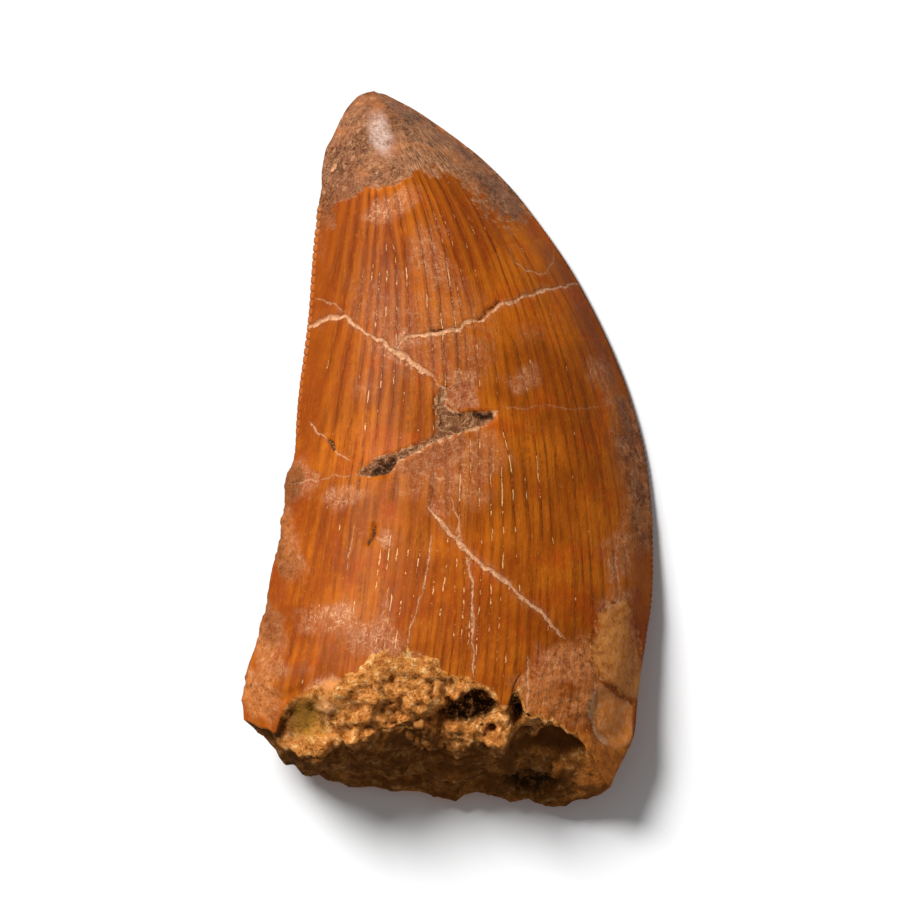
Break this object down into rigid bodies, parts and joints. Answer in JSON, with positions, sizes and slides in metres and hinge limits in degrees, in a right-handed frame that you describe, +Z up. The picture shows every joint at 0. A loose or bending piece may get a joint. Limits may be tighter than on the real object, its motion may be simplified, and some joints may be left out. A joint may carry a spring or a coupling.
{
  "type": "fossil carcharodontosaurus tooth",
  "caption": "Flattened, recurved fossil tooth crown with finely serrated edges and a rough broken base, lying on its side.",
  "frame": {"origin": "centre of the bounding box in plan, on the floor that the tooth lies on", "axes": "+Y from the broken base to the tip, +X towards the bowed mesial edge, +Z up from the side it lies on"},
  "size_m": [0.0309, 0.0546, 0.0121],
  "materials": {
    "fossil_enamel": "polished by wear, low gloss, with a rough sandy break"
  },
  "bodies": {
    "root": {"tooth": "fossil_enamel"}
  },
  "joints": []
}
